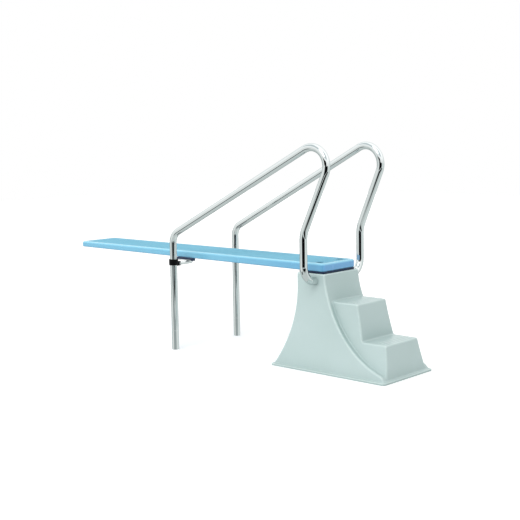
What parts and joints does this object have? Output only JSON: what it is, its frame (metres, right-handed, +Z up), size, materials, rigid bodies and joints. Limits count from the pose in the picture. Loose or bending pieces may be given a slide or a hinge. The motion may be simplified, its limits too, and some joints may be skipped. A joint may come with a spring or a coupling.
{
  "type": "diving board",
  "caption": "Springboard on a hollow moulded pedestal with two steps, held by bent tube handrails whose front legs carry padded supports under the board.",
  "frame": {"origin": "on the deck and the centre line, at the foot of the steps, in the middle of the pedestal's rear rim", "axes": "+X runs along the board from the steps to the tip, +Y to the user's left, +Z up"},
  "size_m": [2.64, 0.61, 1.273],
  "materials": {
    "pale_gelcoat": "pale grey-green gelcoat on glass-fibre laminate, soft gloss",
    "blue_gelcoat": "light blue gelcoat, glossy",
    "blue_grit": "light blue non-slip coating with fine grit",
    "navy_rubber": "matt navy rubber",
    "black_plastic": "black glass-filled nylon, fine texture",
    "polished_steel": "mirror-polished stainless steel",
    "plain_steel": "stainless steel fasteners and plates, satin",
    "plywood": "marine plywood, sealed"
  },
  "bodies": {
    "frame": {"pedestal_shell": "pale_gelcoat", "pedestal_top_plate": "plywood", "tread_panels": "plywood", "rail_backing_plates": "plain_steel", "rear_mount_pad": "navy_rubber", "board_skin_rear": "blue_gelcoat", "board_core_rear": "plywood", "non_slip_rear": "blue_grit", "board_bolts": "plain_steel", "board_bolt_washers": "plain_steel", "board_bolt_nuts": "plain_steel", "handrail_left": "polished_steel", "handrail_right": "polished_steel", "rail_end_inserts": "plain_steel", "rail_end_bolts": "plain_steel", "rail_end_washers": "plain_steel", "leg_end_plugs": "black_plastic", "leg_clamp_left": "black_plastic", "leg_clamp_right": "black_plastic", "clamp_bolts": "plain_steel", "clamp_nuts": "plain_steel", "support_arm_left": "polished_steel", "support_arm_right": "polished_steel", "saddle_plates": "polished_steel", "support_pads": "navy_rubber", "pad_screws": "plain_steel"},
    "board_front": {"board_skin_front": "blue_gelcoat", "board_core_front": "plywood", "non_slip_front": "blue_grit"}
  },
  "joints": [
    {"name": "board_flex", "type": "hinge", "parent": "frame", "child": "board_front", "pos_m": [1.653, 0, 0.58254], "axis": [0, 1, 0], "range_deg": [-3, 6], "stiffness_Nm_per_rad": 11000}
  ]
}
